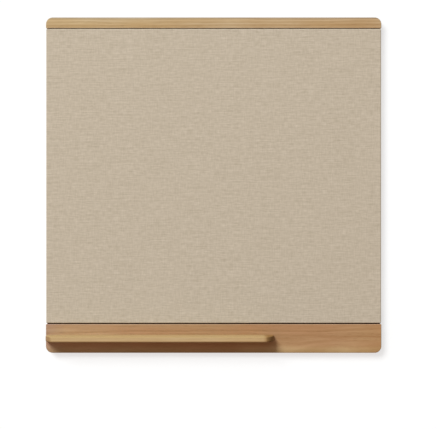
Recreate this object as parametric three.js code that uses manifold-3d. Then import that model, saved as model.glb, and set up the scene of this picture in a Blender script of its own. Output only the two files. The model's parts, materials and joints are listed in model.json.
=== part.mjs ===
// A square pinboard for a wall. Two solid oak rails clamp a cloth-covered panel between them, and a
// narrow oak ledge for pens stands out from the lower rail. Two steel keyhole plates hang it on screws.
// Millimetres, +Z up, the viewer at -Y. The origin is on the wall, midway between the two wall screws.
import * as THREE from "three";
import { mergeVertices } from "three/addons/utils/BufferGeometryUtils.js";
import Module from "manifold-3d";

const wasm = await Module();
wasm.setup();

// Board
const boardWidth = 750;
const boardHeight = 750;
const cornerRadius = 15; // the four outer corners, seen from the front
const fitGap = 0.25; // air between pieces that meet

// Rails
const topRailHeight = 24;
const bottomRailHeight = 64;
const railEase = 1.25; // rounding of the rails' edges
const tongueHeight = 28; // lip behind the panel, which clamps it
const tongueThickness = 7;
const tongueInset = 1; // the lip stops just short of the rail's ends

// Covered panel
const topGap = 1.5; // between the upper rail and the cloth
const bottomGap = 2.4; // between the cloth and the lower rail
const panelSideInset = 0.5;
const faceRecess = 0.2; // the cloth lies this far behind the rails' fronts
const clothThickness = 0.9;
const hemWidth = 25;
const softboardThickness = 8;
const coreThickness = 4;
const boardEase = 0.9; // eased edges of the softboard and core, under the cloth
const boardCorner = 1; // their corners, seen from the front

// Pen ledge
const ledgeLength = 508;
const ledgeDepth = 40;
const ledgeThickness = 13;
const ledgeRise = 27.5; // board's lower edge up to the ledge's underside
const ledgeEndInset = 1; // from the lower rail's left end
const ledgeEndLength = 19; // rounding of the front corners, along the ledge
const ledgeEndDepth = 34; // and from the front towards the rail
const ledgeEase = 2.5;

// Screws through the tongues into the panel
const panelScrewCount = 4; // along each rail
const panelScrewMargin = 45; // from a rail's end to its first screw
const panelScrewHead = 7;
const panelScrewShank = 3.5;
const panelScrewBite = 3.5; // into the softboard

// Screws and dowels that hold the ledge
const ledgeFixingCount = 5; // screws at the odd places, dowels at the even ones
const ledgeFixingMargin = 60; // from a ledge end to its first fixing
const ledgeScrewHead = 8;
const ledgeScrewShank = 4;
const ledgeScrewBite = 23; // into the ledge
const dowelDiameter = 6;
const dowelRailDepth = 12;
const dowelLedgeDepth = 18;
const dowelChamfer = 1;

// All screws
const headSink = 0.25; // heads lie this far below the surface
const headLand = 0.3; // straight rim above the countersunk cone
const tipLength = 3;
const driveLength = 3.4; // cross recess
const driveWidth = 0.9;
const driveDepth = 1.1;

// Keyhole plates
const plateWidth = 44;
const plateHeight = 19;
const plateThickness = 1.5;
const plateCorner = 4;
const plateScrewInset = 6; // plate end to screw
const plateScrewHead = 5.6;
const plateScrewShank = 2.5;
const plateScrewLength = 12;
const keyholeEntry = 9;
const keyholeSlot = 4.4;
const keyholeTravel = 7.5; // entry hole up to the seat
const headPocketWidth = 10;
const headPocketDepth = 3.5; // room for the wall screw's head, behind the plate

// Staples in the side hems
const stapleCount = 8; // on each side
const stapleMargin = 30; // from a tongue's edge to the first staple
const stapleCrown = 10;
const stapleWire = 0.7;
const stapleWidth = 1.2;
const stapleBite = 3; // into the core

// Facets
const cornerFacets = 8; // on each arc of an outline
const foldFacets = 4; // on the small corners of the cloth and its boards
const easeFacets = 3; // across a rounded edge
const screwFacets = 12; // around a screw or dowel

// Depths from the wall, rear to front
const hemRear = tongueThickness + fitGap;
const coreRear = hemRear + clothThickness + fitGap;
const softboardRear = coreRear + coreThickness + fitGap;
const softboardFront = softboardRear + softboardThickness;
const clothFront = softboardFront + fitGap + clothThickness;
const railThickness = clothFront + faceRecess;

// Heights: the wall screws' seat is at zero, and the plates are centred on the upper rail
const keyholeLift = (keyholeEntry - keyholeSlot) / 4; // centres the keyhole's outline on its plate
const plateMiddle = -keyholeTravel / 2 - keyholeLift;
const topEdge = plateMiddle + topRailHeight / 2;
const topInner = topEdge - topRailHeight;
const bottomEdge = topEdge - boardHeight;
const bottomInner = bottomEdge + bottomRailHeight;

// Outlines seen from the front
const halfWidth = boardWidth / 2;
const topRailFace = { left: -halfWidth, right: halfWidth, bottom: topInner, top: topEdge };
const bottomRailFace = { left: -halfWidth, right: halfWidth, bottom: bottomEdge, top: bottomInner };
const panelFace = {
  left: -halfWidth + panelSideInset,
  right: halfWidth - panelSideInset,
  bottom: bottomInner + bottomGap,
  top: topInner - topGap,
};

// A closed geometry as a solid that can be cut and joined.
function solid(geometry) {
  const bare = geometry.index ? geometry.toNonIndexed() : geometry.clone();
  bare.deleteAttribute("normal");
  bare.deleteAttribute("uv");
  const merged = mergeVertices(bare);
  const vertProperties = merged.getAttribute("position").array;
  const triVerts = new Uint32Array(merged.index.array);
  return new wasm.Manifold(new wasm.Mesh({ numProp: 3, vertProperties, triVerts }));
}

function geometryOf(made) {
  const { vertProperties, triVerts } = made.getMesh();
  const geometry = new THREE.BufferGeometry();
  geometry.setAttribute("position", new THREE.BufferAttribute(vertProperties, 3));
  geometry.setIndex(new THREE.BufferAttribute(triVerts, 1));
  geometry.computeVertexNormals();
  return geometry;
}

function join(first, second) {
  return geometryOf(solid(first).add(solid(second)));
}

function cut(base, tools) {
  return geometryOf(tools.reduce((left, tool) => left.subtract(solid(tool)), solid(base)));
}

function moved(geometry, x, y, z) {
  return geometry.clone().translate(x, y, z);
}

// Evenly spread places from the first to the last.
function spread(first, last, count) {
  return Array.from({ length: count }, (_, i) => first + ((last - first) * i) / Math.max(count - 1, 1));
}

// A rectangle, drawn in by an inset, with its own radii at the upper and lower corners.
function outline({ left, right, bottom, top }, inset, upper, lower) {
  const [l, r, b, t] = [left + inset, right - inset, bottom + inset, top - inset];
  const shape = new THREE.Shape();
  shape.moveTo(l + lower, b).lineTo(r - lower, b);
  if (lower > 0) shape.absarc(r - lower, b + lower, lower, -Math.PI / 2, 0);
  shape.lineTo(r, t - upper);
  if (upper > 0) shape.absarc(r - upper, t - upper, upper, 0, Math.PI / 2);
  shape.lineTo(l + upper, t);
  if (upper > 0) shape.absarc(l + upper, t - upper, upper, Math.PI / 2, Math.PI);
  shape.lineTo(l, b + lower);
  if (lower > 0) shape.absarc(l + lower, b + lower, lower, Math.PI, 1.5 * Math.PI);
  return shape;
}

// An outline extruded upwards, with its upper and lower edges rounded.
function extruded(shape, thickness, ease, facets) {
  const geometry = new THREE.ExtrudeGeometry(shape, {
    depth: thickness - 2 * ease,
    bevelEnabled: ease > 0,
    bevelThickness: ease,
    bevelSize: ease,
    bevelOffset: -ease,
    bevelSegments: easeFacets,
    curveSegments: facets / 2, // an arc takes two facets for each
  });
  return geometry.translate(0, 0, ease);
}

// An outline in X and Z that stands between two depths from the wall.
function upright(shape, rear, front, ease = 0, facets = cornerFacets) {
  return extruded(shape, front - rear, ease, facets).rotateX(Math.PI / 2).translate(0, -rear, 0);
}

// A box between two depths from the wall.
function block({ left, right, bottom, top }, rear, front) {
  const box = new THREE.BoxGeometry(right - left, front - rear, top - bottom);
  return box.translate((left + right) / 2, -(rear + front) / 2, (bottom + top) / 2);
}

// A shape turned about Y from rows of radius and place along Y, lowest first.
function turned(rows) {
  return new THREE.LatheGeometry(rows.map(([r, y]) => new THREE.Vector2(r, y)), screwFacets);
}

// A countersunk wood screw with a cross recess, its head's face at zero and its tip towards -Y.
function woodScrew(head, shank, length) {
  const coneEnd = headLand + (head - shank) / 2;
  const body = turned([
    [0, -length],
    [shank / 2, tipLength - length],
    [shank / 2, -coneEnd],
    [head / 2, -headLand],
    [head / 2, 0],
    [0, 0],
  ]);
  const along = new THREE.BoxGeometry(driveLength, 2 * driveDepth, driveWidth);
  const across = new THREE.BoxGeometry(driveWidth, 2 * driveDepth, driveLength);
  return cut(body, [along, across]);
}

// The hole for that screw, open behind its head.
function screwHole(head, shank, length) {
  const coneEnd = headLand + (head - shank) / 2;
  return turned([
    [0, -length - fitGap],
    [shank / 2 + fitGap, tipLength - length],
    [shank / 2 + fitGap, -coneEnd],
    [head / 2 + fitGap, -headLand],
    [head / 2 + fitGap, headSink + fitGap],
    [0, headSink + fitGap],
  ]);
}

// Panel screws: heads in the tongues, tips in the softboard
const panelScrewLength = softboardRear + panelScrewBite - headSink;
const panelScrewX = spread(-halfWidth + panelScrewMargin, halfWidth - panelScrewMargin, panelScrewCount);
const topScrewZ = topInner - tongueHeight / 2;
const bottomScrewZ = bottomInner + tongueHeight / 2;
const panelScrewHole = screwHole(panelScrewHead, panelScrewShank, panelScrewLength);
const topScrewHoles = panelScrewX.map((x) => moved(panelScrewHole, x, -headSink, topScrewZ));
const bottomScrewHoles = panelScrewX.map((x) => moved(panelScrewHole, x, -headSink, bottomScrewZ));

// Ledge fixings, at half the ledge's thickness
const ledgeLeft = -halfWidth + ledgeEndInset;
const ledgeBottom = bottomEdge + ledgeRise;
const fixingX = spread(ledgeFixingMargin, ledgeLength - ledgeFixingMargin, ledgeFixingCount);
const screwX = fixingX.filter((_, i) => i % 2 === 0);
const dowelX = fixingX.filter((_, i) => i % 2 === 1);
const ledgeScrewLength = railThickness - headSink + fitGap + ledgeScrewBite;
const ledgeScrewHole = screwHole(ledgeScrewHead, ledgeScrewShank, ledgeScrewLength);

// A dowel across the joint at Y zero: its rail end at +Y, grown on all sides by a gap.
function dowel(gap) {
  const rim = dowelDiameter / 2 + gap;
  const ledgeEnd = -dowelLedgeDepth - gap;
  const railEnd = dowelRailDepth + gap;
  return turned([
    [0, ledgeEnd],
    [rim - dowelChamfer, ledgeEnd],
    [rim, ledgeEnd + dowelChamfer],
    [rim, railEnd - dowelChamfer],
    [rim - dowelChamfer, railEnd],
    [0, railEnd],
  ]);
}

// Holes for the fixings, in the ledge's own frame: its left end, lower face and the rail's front at zero
const ledgeHoles = [
  ...screwX.map((x) => moved(ledgeScrewHole, x, railThickness - headSink, ledgeThickness / 2)),
  ...dowelX.map((x) => moved(dowel(fitGap), x, 0, ledgeThickness / 2)),
];

// Keyhole plates hang midway between the outer two screws of the upper rail, left and right
const hangerX = (panelScrewX[0] + panelScrewX[1]) / 2;
const hangers = [
  { side: "left", x: hangerX },
  { side: "right", x: -hangerX },
];
const plateFace = {
  left: -plateWidth / 2,
  right: plateWidth / 2,
  bottom: plateMiddle - plateHeight / 2,
  top: plateMiddle + plateHeight / 2,
};
const plateFront = fitGap + plateThickness;
const plateScrewX = [plateScrewInset - plateWidth / 2, plateWidth / 2 - plateScrewInset];
const plateScrewDepth = fitGap + headSink;
const plateScrewHole = screwHole(plateScrewHead, plateScrewShank, plateScrewLength);
const plateScrewHoles = plateScrewX.map((x) => moved(plateScrewHole, x, -plateScrewDepth, plateMiddle));

// The keyhole: a round entry with a slot that rises from it to the seat at zero.
function keyhole() {
  const entry = keyholeEntry / 2;
  const slot = keyholeSlot / 2;
  const shoulder = Math.acos(slot / entry);
  const path = new THREE.Path();
  path.moveTo(slot, 0);
  path.absarc(0, 0, slot, 0, Math.PI);
  path.absarc(0, -keyholeTravel, entry, Math.PI - shoulder, 2 * Math.PI + shoulder);
  return path;
}

// The plate's recess and the deeper pocket for the wall screw's head, about the seat.
function hangerRecess() {
  const pocketFace = {
    left: -headPocketWidth / 2,
    right: headPocketWidth / 2,
    bottom: -keyholeTravel - headPocketWidth / 2,
    top: headPocketWidth / 2,
  };
  const round = headPocketWidth / 2 - fitGap;
  const recessCorner = plateCorner + fitGap;
  const recessFloor = plateFront + fitGap;
  return [
    upright(outline(plateFace, -fitGap, recessCorner, recessCorner), -fitGap, recessFloor),
    upright(outline(pocketFace, 0, round, round), -fitGap, plateFront + headPocketDepth),
  ];
}

function keyholePlate() {
  const shape = outline(plateFace, 0, plateCorner, plateCorner);
  shape.holes.push(keyhole());
  return cut(upright(shape, fitGap, plateFront), plateScrewHoles);
}

// A rail with its tongue, whose root runs into the rail as far as half the rail's height.
function railWithTongue(face, upper, lower, tongueBottom, tongueTop) {
  const tongueFace = {
    left: face.left + tongueInset,
    right: face.right - tongueInset,
    bottom: tongueBottom,
    top: tongueTop,
  };
  const bar = upright(outline(face, 0, upper, lower), 0, railThickness, railEase);
  return join(bar, block(tongueFace, 0, tongueThickness));
}

function topRail() {
  const root = topInner + topRailHeight / 2;
  const bar = railWithTongue(topRailFace, cornerRadius, 0, topInner - tongueHeight, root);
  const hangerTools = [...hangerRecess(), ...plateScrewHoles];
  const pockets = hangers.flatMap(({ x }) => hangerTools.map((tool) => moved(tool, x, 0, 0)));
  return cut(bar, [...topScrewHoles, ...pockets]);
}

function bottomRail() {
  const root = bottomInner - bottomRailHeight / 2;
  const bar = railWithTongue(bottomRailFace, 0, cornerRadius, root, bottomInner + tongueHeight);
  const fixings = ledgeHoles.map((tool) => moved(tool, ledgeLeft, -railThickness, ledgeBottom));
  return cut(bar, [...bottomScrewHoles, ...fixings]);
}

// The ledge seen from above: a straight front with elliptical corners, and a back beyond the rail's face.
function ledgePlan() {
  const depth = Math.min(ledgeEndDepth, ledgeDepth - ledgeEase);
  const start = depth - ledgeDepth;
  const back = 2 * ledgeEase;
  const rightEnd = ledgeLength - ledgeEndLength;
  const shape = new THREE.Shape();
  shape.moveTo(ledgeEndLength, -ledgeDepth).lineTo(rightEnd, -ledgeDepth);
  shape.absellipse(rightEnd, start, ledgeEndLength, depth, -Math.PI / 2, 0);
  shape.lineTo(ledgeLength, back).lineTo(0, back).lineTo(0, start);
  shape.absellipse(ledgeEndLength, start, ledgeEndLength, depth, Math.PI, 1.5 * Math.PI);
  return shape;
}

// The ledge is drawn past the rail's face and sawn off square, so only its free edges are rounded.
function penLedge() {
  const blank = extruded(ledgePlan(), ledgeThickness, ledgeEase, cornerFacets);
  const waste = {
    left: -ledgeEase,
    right: ledgeLength + ledgeEase,
    bottom: -ledgeEase,
    top: ledgeThickness + ledgeEase,
  };
  const seat = block(waste, -3 * ledgeEase, fitGap);
  return cut(blank, [seat, ...ledgeHoles]);
}

// Staples run along the middle of each side hem, between the tongues
const stapleX = halfWidth - panelSideInset - hemWidth / 2;
const firstStapleZ = bottomInner + tongueHeight + stapleMargin;
const lastStapleZ = topInner - tongueHeight - stapleMargin;
const stapleZ = spread(firstStapleZ, lastStapleZ, stapleCount);
const stapleRear = hemRear - fitGap - stapleWire;
const stapleTip = coreRear + stapleBite;

function staple() {
  const half = stapleCrown / 2;
  const leg = stapleTip - stapleRear;
  const shape = new THREE.Shape();
  shape.moveTo(-half, 0).lineTo(-half, -leg).lineTo(stapleWire - half, -leg);
  shape.lineTo(stapleWire - half, -stapleWire).lineTo(half - stapleWire, -stapleWire);
  shape.lineTo(half - stapleWire, -leg).lineTo(half, -leg).lineTo(half, 0);
  const wire = new THREE.ExtrudeGeometry(shape, { depth: stapleWidth, bevelEnabled: false });
  return wire.translate(0, 0, -stapleWidth / 2).rotateY(-Math.PI / 2);
}

// Slots that the staples' legs have pierced.
function legSlots() {
  const reach = stapleWidth / 2 + fitGap;
  const legMiddle = (stapleCrown - stapleWire) / 2;
  const legHalf = stapleWire / 2 + fitGap;
  const slots = [];
  for (const x of [-stapleX, stapleX]) {
    for (const z of stapleZ.flatMap((middle) => [middle - legMiddle, middle + legMiddle])) {
      const face = { left: x - reach, right: x + reach, bottom: z - legHalf, top: z + legHalf };
      slots.push(block(face, stapleRear, stapleTip + fitGap));
    }
  }
  return slots;
}

// The panel's two boards, with eased edges, under the cloth.
const pierced = [...topScrewHoles, ...bottomScrewHoles, ...legSlots()];
const underCloth = outline(panelFace, clothThickness + fitGap, boardCorner, boardCorner);
const stack = upright(underCloth, coreRear, softboardFront, boardEase, foldFacets);

function coreBoard() {
  return cut(stack, [block(panelFace, coreRear + coreThickness, clothFront), ...pierced]);
}

function softboard() {
  return cut(stack, [block(panelFace, hemRear, softboardRear), ...pierced]);
}

// The cloth lies over the front, turns all four edges and ends in a hem behind the core.
function clothCover() {
  const insideCorner = boardCorner + fitGap;
  const outsideCorner = insideCorner + clothThickness;
  const insideFold = boardEase + fitGap;
  const outsideFold = insideFold + clothThickness;
  const outsideShape = outline(panelFace, 0, outsideCorner, outsideCorner);
  const outside = upright(outsideShape, hemRear, clothFront, outsideFold, foldFacets);
  const insideShape = outline(panelFace, clothThickness, insideCorner, insideCorner);
  const insideRear = hemRear + clothThickness;
  const inside = upright(insideShape, insideRear, softboardFront + fitGap, insideFold, foldFacets);
  const window = upright(outline(panelFace, hemWidth, 0, 0), hemRear - fitGap, coreRear);
  return cut(outside, [inside, window, ...pierced]);
}

// Finishes
const finishes = {
  topOak: { color: 0xbea179, roughness: 0.55, metalness: 0 },
  bottomOak: { color: 0xaf8860, roughness: 0.55, metalness: 0 },
  ledgeOak: { color: 0xc0a377, roughness: 0.55, metalness: 0 },
  cloth: { color: 0xc1b29d, roughness: 0.95, metalness: 0 },
  softboard: { color: 0x8f7650, roughness: 1, metalness: 0 },
  plywood: { color: 0xc8ab7e, roughness: 0.8, metalness: 0 },
  beech: { color: 0xd3ae80, roughness: 0.7, metalness: 0 },
  zincSteel: { color: 0xc2c4c6, roughness: 0.35, metalness: 1 },
};

function piece(name, geometry, finish, x = 0, y = 0, z = 0) {
  const mesh = new THREE.Mesh(geometry, new THREE.MeshStandardMaterial(finishes[finish]));
  mesh.name = name;
  mesh.position.set(x, y, z);
  return mesh;
}

const pinboard = new THREE.Group();
pinboard.add(piece("top_rail", topRail(), "topOak"));
pinboard.add(piece("bottom_rail", bottomRail(), "bottomOak"));

const panel = new THREE.Group();
panel.add(piece("cloth_cover", clothCover(), "cloth"));
panel.add(piece("softboard", softboard(), "softboard"));
panel.add(piece("core_board", coreBoard(), "plywood"));
const stapleBent = staple();
stapleZ.forEach((z, i) => {
  panel.add(piece(`left_staple_${i + 1}`, stapleBent, "zincSteel", -stapleX, -stapleRear, z));
  panel.add(piece(`right_staple_${i + 1}`, stapleBent, "zincSteel", stapleX, -stapleRear, z));
});
const panelScrew = woodScrew(panelScrewHead, panelScrewShank, panelScrewLength);
panelScrewX.forEach((x, i) => {
  panel.add(piece(`top_panel_screw_${i + 1}`, panelScrew, "zincSteel", x, -headSink, topScrewZ));
  panel.add(piece(`bottom_panel_screw_${i + 1}`, panelScrew, "zincSteel", x, -headSink, bottomScrewZ));
});
pinboard.add(panel);

const ledge = new THREE.Group();
ledge.position.set(ledgeLeft, -railThickness, ledgeBottom);
ledge.add(piece("pen_ledge", penLedge(), "ledgeOak"));
const ledgeScrew = woodScrew(ledgeScrewHead, ledgeScrewShank, ledgeScrewLength);
const ledgeScrewY = railThickness - headSink;
screwX.forEach((x, i) => {
  ledge.add(piece(`ledge_screw_${i + 1}`, ledgeScrew, "zincSteel", x, ledgeScrewY, ledgeThickness / 2));
});
dowelX.forEach((x, i) => {
  ledge.add(piece(`ledge_dowel_${i + 1}`, dowel(0), "beech", x, 0, ledgeThickness / 2));
});
pinboard.add(ledge);

const plate = keyholePlate();
const plateScrew = woodScrew(plateScrewHead, plateScrewShank, plateScrewLength);
for (const { side, x } of hangers) {
  const hanger = new THREE.Group();
  hanger.position.x = x;
  hanger.add(piece(`${side}_keyhole_plate`, plate, "zincSteel"));
  plateScrewX.forEach((along, i) => {
    const name = `${side}_plate_screw_${i + 1}`;
    hanger.add(piece(name, plateScrew, "zincSteel", along, -plateScrewDepth, plateMiddle));
  });
  pinboard.add(hanger);
}

export default pinboard;
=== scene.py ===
import json
import math

import bmesh
import bpy
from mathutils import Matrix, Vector


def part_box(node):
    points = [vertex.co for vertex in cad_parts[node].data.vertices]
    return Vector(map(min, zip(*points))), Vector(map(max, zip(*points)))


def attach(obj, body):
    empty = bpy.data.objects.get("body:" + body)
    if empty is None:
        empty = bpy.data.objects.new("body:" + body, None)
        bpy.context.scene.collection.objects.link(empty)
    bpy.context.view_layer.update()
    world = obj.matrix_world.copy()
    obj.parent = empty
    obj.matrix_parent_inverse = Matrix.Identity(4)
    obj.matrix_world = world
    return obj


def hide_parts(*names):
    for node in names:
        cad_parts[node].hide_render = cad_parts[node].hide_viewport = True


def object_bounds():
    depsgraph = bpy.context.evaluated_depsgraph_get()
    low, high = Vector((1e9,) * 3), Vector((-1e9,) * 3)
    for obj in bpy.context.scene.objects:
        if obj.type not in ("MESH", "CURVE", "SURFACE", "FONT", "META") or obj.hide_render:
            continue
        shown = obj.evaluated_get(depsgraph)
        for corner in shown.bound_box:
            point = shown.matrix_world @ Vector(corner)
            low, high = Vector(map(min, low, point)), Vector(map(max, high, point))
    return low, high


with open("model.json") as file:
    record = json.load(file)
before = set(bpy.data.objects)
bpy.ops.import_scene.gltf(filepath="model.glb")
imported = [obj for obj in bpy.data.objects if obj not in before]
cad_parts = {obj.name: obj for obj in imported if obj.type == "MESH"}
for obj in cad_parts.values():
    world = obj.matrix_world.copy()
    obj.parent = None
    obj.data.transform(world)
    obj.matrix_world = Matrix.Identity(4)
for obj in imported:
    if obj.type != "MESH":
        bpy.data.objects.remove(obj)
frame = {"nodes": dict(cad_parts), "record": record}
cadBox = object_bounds()
scene = bpy.context.scene
mm = 0.001  # the frame is in metres, and small sizes are written in millimetres
near = 0.01 * mm  # two places closer than this are the same
print("frame loaded:", len(frame["nodes"]), "nodes")


# Shared helpers for shaders
def linear(hexColour):
    parts = [int(hexColour[i:i + 2], 16) / 255 for i in (1, 3, 5)]
    return [p / 12.92 if p <= 0.04045 else ((p + 0.055) / 1.055) ** 2.4 for p in parts] + [1.0]


def newMaterial(name):
    material = bpy.data.materials.new(name)
    material.use_nodes = True
    material.node_tree.nodes.clear()
    return material


# Adds one node: inputs holds the values and links of its sockets. A Mix of colours takes its share in
# socket 0 and its colours in 6 and 7, and gives output 2. A Mix of numbers takes them in 2 and 3.
def addNode(tree, kind, inputs=None, **settings):
    node = tree.nodes.new("ShaderNode" + kind)
    for name, value in settings.items():
        setattr(node, name, value)
    for socket, value in (inputs or {}).items():
        if isinstance(value, bpy.types.NodeSocket):
            tree.links.new(value, node.inputs[socket])
        else:
            node.inputs[socket].default_value = value
    return node


# Shared helpers for meshes
def asObject(bm, name):
    mesh = bpy.data.meshes.new(name)
    bm.to_mesh(mesh)
    bm.free()
    piece = bpy.data.objects.new(name, mesh)
    scene.collection.objects.link(piece)
    return piece


def blockMesh(low, high):
    bm = bmesh.new()
    bmesh.ops.create_cube(bm, size=1)
    size = Vector(high) - Vector(low)
    bmesh.ops.scale(bm, vec=size, verts=bm.verts)
    bmesh.ops.translate(bm, vec=Vector(low) + size / 2, verts=bm.verts)
    return bm


# Edges along one axis (0, 1, 2) whose two ends pass a test of their place
def edgesAlong(bm, axis, test):
    def along(edge):
        step = edge.verts[1].co - edge.verts[0].co
        return all(abs(step[other]) < near for other in range(3) if other != axis)
    return [e for e in bm.edges if along(e) and all(test(v.co) for v in e.verts)]


def edgesWhere(bm, test):
    return [e for e in bm.edges if all(test(v.co) for v in e.verts)]


def rounded(bm, edges, radius, steps):
    bmesh.ops.bevel(
        bm, geom=edges, offset=radius, offset_type="OFFSET", affect="EDGES",
        segments=steps, profile=0.5, material=-1, clamp_overlap=False,
    )


# A closed shape turned about Y from rows of radius and place along Y
def turnedMesh(rows, place, steps):
    bm = bmesh.new()
    points = [bm.verts.new((radius, y, 0)) for radius, y in rows]
    line = [bm.edges.new(pair) for pair in zip(points, points[1:])]
    bmesh.ops.spin(
        bm, geom=points + line, cent=(0, 0, 0), axis=(0, 1, 0), dvec=(0, 0, 0),
        angle=2 * math.pi, steps=steps, use_merge=True, use_duplicate=False,
    )
    bmesh.ops.remove_doubles(bm, verts=bm.verts, dist=near)
    bmesh.ops.recalc_face_normals(bm, faces=bm.faces)
    bmesh.ops.translate(bm, vec=Vector(place), verts=bm.verts)
    return bm


# One tool object from several separate shapes
def toolFrom(shapes):
    together = bmesh.new()
    for bm in shapes:
        mesh = bpy.data.meshes.new("tool")
        bm.to_mesh(mesh)
        bm.free()
        together.from_mesh(mesh)
        bpy.data.meshes.remove(mesh)
    return asObject(together, "tool")


# Joins or cuts a piece with each tool in turn, and throws the tools away
def carve(piece, steps):
    for operation, tool in steps:
        modifier = piece.modifiers.new(operation, "BOOLEAN")
        modifier.operation = operation
        modifier.solver = "EXACT"
        modifier.object = tool
    blank = piece.data
    carved = piece.evaluated_get(bpy.context.evaluated_depsgraph_get())
    made = bpy.data.meshes.new_from_object(carved)
    piece.modifiers.clear()
    piece.data = made
    bpy.data.meshes.remove(blank)
    made.name = piece.name
    for _, tool in steps:
        bpy.data.meshes.remove(tool.data)


# Smooth shading up to an angle, with flat faces kept flat
def shadeSmooth(piece, angle):
    piece.data.shade_smooth()
    piece.data.set_sharp_from_angle(angle=math.radians(angle))
    flat = piece.modifiers.new("flat faces", "WEIGHTED_NORMAL")
    flat.keep_sharp = True


remodelled = set()  # nodes that have a piece of their own


def finishPiece(piece, material, node):
    piece.data.materials.clear()
    piece.data.materials.append(material)
    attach(piece, "root")
    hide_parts(node)
    remodelled.add(node)


# Camera: square on, a little below the middle of the board and to the right of it
shot = {
    "place": (0.0108, -2.5165, -0.4336),
    "turn": (math.pi / 2, 0, 0),  # level, looking at the wall
    "lens": 91.94,  # lens and sensor in millimetres, as Blender counts them
    "sensor": 36.0,
}


def setCamera():
    camera = bpy.data.objects.new("camera", bpy.data.cameras.new("camera"))
    camera.data.lens = shot["lens"]
    camera.data.sensor_width = shot["sensor"]
    camera.location = shot["place"]
    camera.rotation_euler = shot["turn"]
    scene.collection.objects.link(camera)
    scene.camera = camera
    print("camera set")


# Studio: a white wall and floor that keep the shadow, a large soft lamp at the upper left for the board,
# one for the wall and floor, one for the board's back, and soft light all round
studio = {
    "toKey": (-0.62, -1.0, 1.0),  # from the board towards the lamp
    "keyDistance": 14.0,
    "keyWidth": 6.4,
    "keyPower": 1909.0,
    "toWallLamp": (-0.6, -1.0, 0.66),  # for the backdrops alone, broad, with a short soft shadow
    "wallLampDistance": 25.0,
    "wallLampWidth": 12.0,
    "wallLampPower": 7600.0,
    "toRear": (0.3, 3.0, 0.5),  # place of the rear lamp from the board's middle
    "rearWidth": 1.2,
    "rearPower": 75.0,
    "ambient": 0.39,
    "ambientLeft": 1.6,  # the soft light is stronger from the left
    "ambientRight": 0.35,
    "sideBlend": 0.8,  # how far to each side its strength changes, where 1 is straight sideways
    "ambientBelow": "#ffcdae",  # light from below comes off a floor, and is a little warmer
    "heightBlend": 0.3,  # how far above and below the horizon its tone changes, where 1 is upright
    "wallGlow": 0.69,  # the backdrops' own white, which the shadow can't darken
    "wallShade": (0.27, 0.2835, 0.289),  # the part that comes from light, a little blue against its warmth
    "floorShade": (0.27, 0.27, 0.27),
    "wallGap": 0.3 * mm,
    "floorDrop": 0.6,
    "reach": 8.0,
}


def addLamp(name, toLamp, width, power):
    middle = (cadBox[0] + cadBox[1]) / 2
    lamp = bpy.data.objects.new(name, bpy.data.lights.new(name, "AREA"))
    lamp.data.shape = "DISK"
    lamp.data.size = width
    lamp.data.energy = power
    lamp.location = middle + toLamp
    lamp.rotation_mode = "QUATERNION"
    lamp.rotation_quaternion = (-toLamp).to_track_quat("-Z", "Y")
    lamp.visible_camera = False
    scene.collection.objects.link(lamp)
    return lamp


# White paint that is seen from its front only, so the board shows from behind too
def backdropPaint(name, shade):
    material = newMaterial(name)
    material.cycles.emission_sampling = "NONE"
    tree = material.node_tree
    glow = addNode(tree, "Emission", {"Strength": studio["wallGlow"]})
    paint = addNode(tree, "BsdfDiffuse", {"Color": (*shade, 1.0)})
    both = addNode(tree, "AddShader", {0: glow.outputs[0], 1: paint.outputs[0]})
    clear = addNode(tree, "BsdfTransparent")
    behind = addNode(tree, "NewGeometry").outputs["Backfacing"]
    seen = addNode(tree, "MixShader", {0: behind, 1: both.outputs[0], 2: clear.outputs[0]})
    addNode(tree, "OutputMaterial", {"Surface": seen.outputs[0]})
    return material


def addBackdrop(name, paint, place, turn):
    bm = bmesh.new()
    bmesh.ops.create_grid(bm, x_segments=1, y_segments=1, size=studio["reach"] / 2)
    backdrop = asObject(bm, name)
    backdrop.location = place
    backdrop.rotation_euler = (turn, 0, 0)
    backdrop.data.materials.append(paint)
    backdrop.visible_diffuse = False
    backdrop.visible_glossy = False
    backdrop.visible_shadow = False
    return backdrop


# Soft light all round, and plain white where the camera or a mirroring surface sees past the backdrops
def setWorld():
    world = bpy.data.worlds.new("studio")
    world.use_nodes = True
    scene.world = world
    tree = world.node_tree
    tree.nodes.clear()
    path = addNode(tree, "LightPath").outputs
    mirrored = addNode(tree, "Math", {
        0: path["Is Glossy Ray"], 1: path["Is Transmission Ray"],
    }, operation="MAXIMUM").outputs[0]
    seen = addNode(tree, "Math", {0: path["Is Camera Ray"], 1: mirrored}, operation="MAXIMUM").outputs[0]
    direction = addNode(tree, "TexCoord").outputs["Generated"]
    heading = addNode(tree, "SeparateXYZ", {0: direction}).outputs
    above = addNode(tree, "MapRange", {
        "Value": heading["Z"], "From Min": -studio["heightBlend"], "From Max": studio["heightBlend"],
    }).outputs[0]
    strength = addNode(tree, "MapRange", {
        "Value": heading["X"], "From Min": -studio["sideBlend"], "From Max": studio["sideBlend"],
        "To Min": studio["ambientLeft"] * studio["ambient"],
        "To Max": studio["ambientRight"] * studio["ambient"],
    }).outputs[0]
    plain = linear("#ffffff")
    tone = addNode(tree, "Mix", {
        0: above, 6: linear(studio["ambientBelow"]), 7: plain,
    }, data_type="RGBA").outputs[2]
    soft = addNode(tree, "Background", {"Color": tone, "Strength": strength})
    white = addNode(tree, "Background", {"Color": plain, "Strength": 1.0})
    either = addNode(tree, "MixShader", {0: seen, 1: soft.outputs[0], 2: white.outputs[0]})
    addNode(tree, "OutputWorld", {"Surface": either.outputs[0]})


# Lets a lamp light the backdrops alone, or everything but them
def linkLamp(lamp, backdrops, state):
    linked = bpy.data.collections.new(lamp.name + " links")
    for backdrop in backdrops:
        linked.objects.link(backdrop)
    for row in linked.collection_objects:
        row.light_linking.link_state = state
    lamp.light_linking.receiver_collection = linked


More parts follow.
